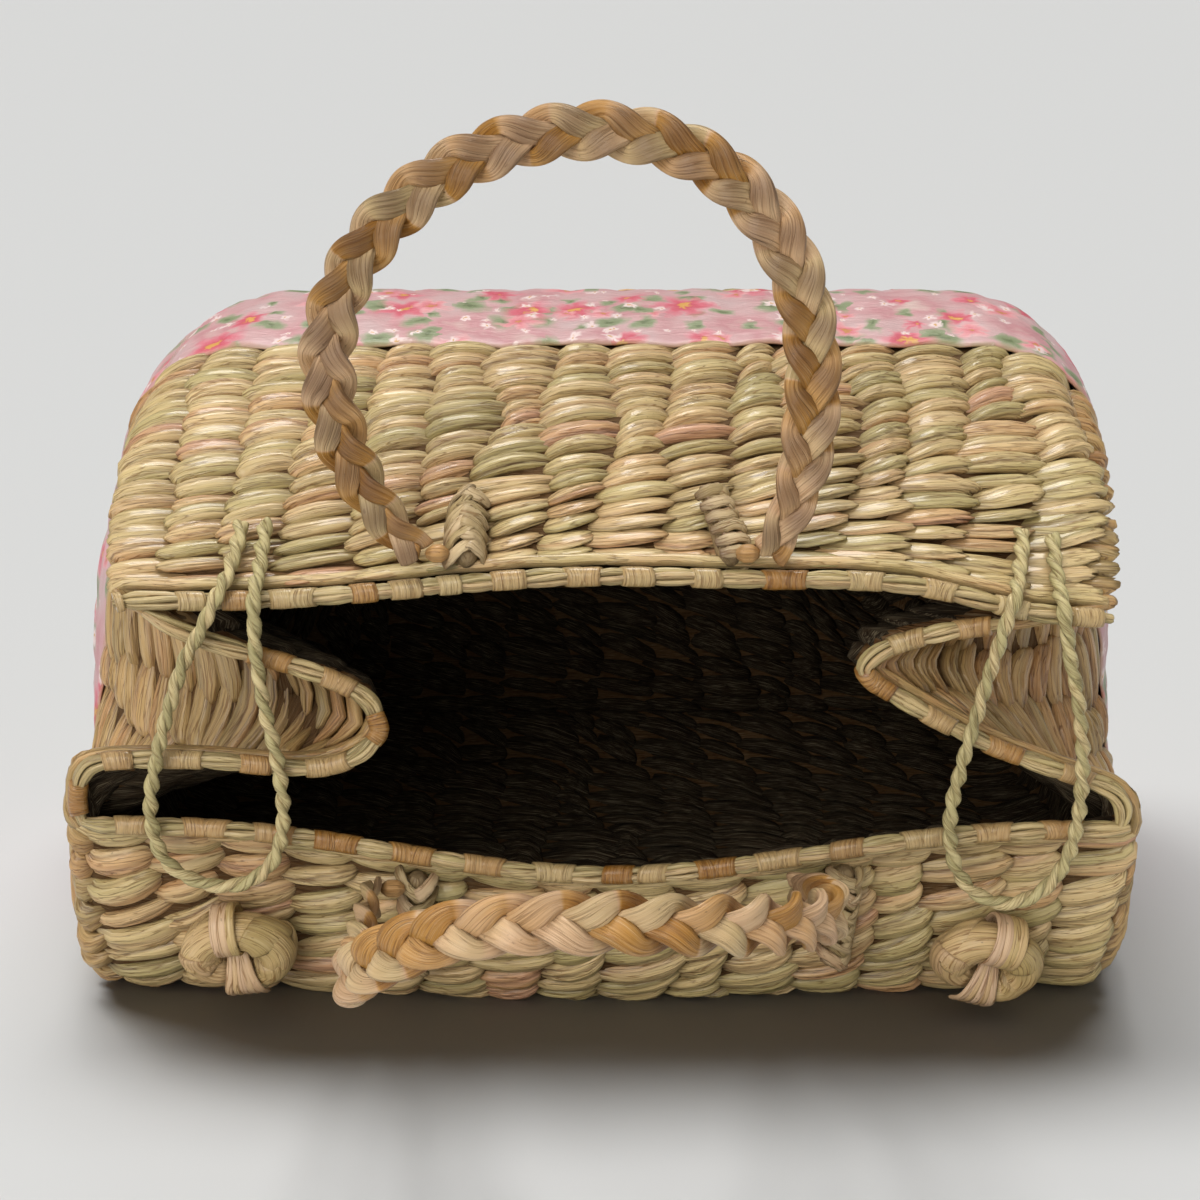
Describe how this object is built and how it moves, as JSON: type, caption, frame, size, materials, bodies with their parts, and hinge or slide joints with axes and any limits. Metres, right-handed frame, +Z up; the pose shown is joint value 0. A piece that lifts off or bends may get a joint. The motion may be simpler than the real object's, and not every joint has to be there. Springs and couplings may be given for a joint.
{
  "type": "picnic basket",
  "caption": "Soft twined seagrass basket lying on its long side with an open mouth, plaited handles, toggles with cord loops and a printed band.",
  "frame": {"origin": "on the floor the basket lies on, under the middle of its rigid pieces", "axes": "+X along the basket's width, to the right seen from the mouth; +Y from the open mouth to the base; +Z up from the floor, so the front wall is underneath"},
  "size_m": [0.426, 0.3898, 0.3496],
  "materials": {
    "weave": "twined seagrass, satin natural fibre",
    "cane": "rush stalks bound with strips, satin",
    "plait": "flat plaited rush ribbons, satin",
    "lashing": "half-hitched grass cord, satin",
    "roll": "rolled grass, satin",
    "cord": "two-ply twisted grass cord, matt",
    "print": "floral print on the weave, satin"
  },
  "bodies": {
    "basket": {"back_wall": "weave", "right_gusset_upper": "weave", "right_gusset_lower": "weave", "front_wall": "weave", "left_gusset_lower": "weave", "left_gusset_upper": "weave", "base_mat": "weave", "floral_print_band": "print", "back_rim_cane": "cane", "right_gusset_rim_cane": "cane", "front_rim_cane": "cane", "left_gusset_rim_cane": "cane", "back_handle_left_lashing": "lashing", "back_handle_left_stub": "plait", "back_handle_right_lashing": "lashing", "back_handle_right_stub": "plait", "front_handle_left_lashing": "lashing", "front_handle_left_stub": "plait", "front_handle_right_lashing": "lashing", "front_handle_right_stub": "plait", "left_toggle_roll": "roll", "left_toggle_tie": "roll", "right_toggle_roll": "roll", "right_toggle_tie": "roll"},
    "back_handle": {"back_handle_strand_a": "plait", "back_handle_strand_b": "plait", "back_handle_strand_c": "plait"},
    "front_handle": {"front_handle_strand_a": "plait", "front_handle_strand_b": "plait", "front_handle_strand_c": "plait"},
    "left_loop": {"left_closure_loop": "cord"},
    "right_loop": {"right_closure_loop": "cord"}
  },
  "joints": [
    {"name": "back_handle_swing", "type": "hinge", "parent": "basket", "child": "back_handle", "pos_m": [0, -0.03895, 0.1925], "axis": [1, 0, 0], "range_deg": [-50, 85]},
    {"name": "front_handle_swing", "type": "hinge", "parent": "basket", "child": "front_handle", "pos_m": [0, -0.04367, 0.06327], "axis": [1, 0, 0], "range_deg": [-25, 42]},
    {"name": "left_loop_swing", "type": "hinge", "parent": "basket", "child": "left_loop", "pos_m": [0, -0.01808, 0.197], "axis": [1, 0, 0], "range_deg": [-150, 0]},
    {"name": "right_loop_swing", "type": "hinge", "parent": "basket", "child": "right_loop", "pos_m": [0, -0.01808, 0.193], "axis": [1, 0, 0], "range_deg": [-150, 0]}
  ]
}
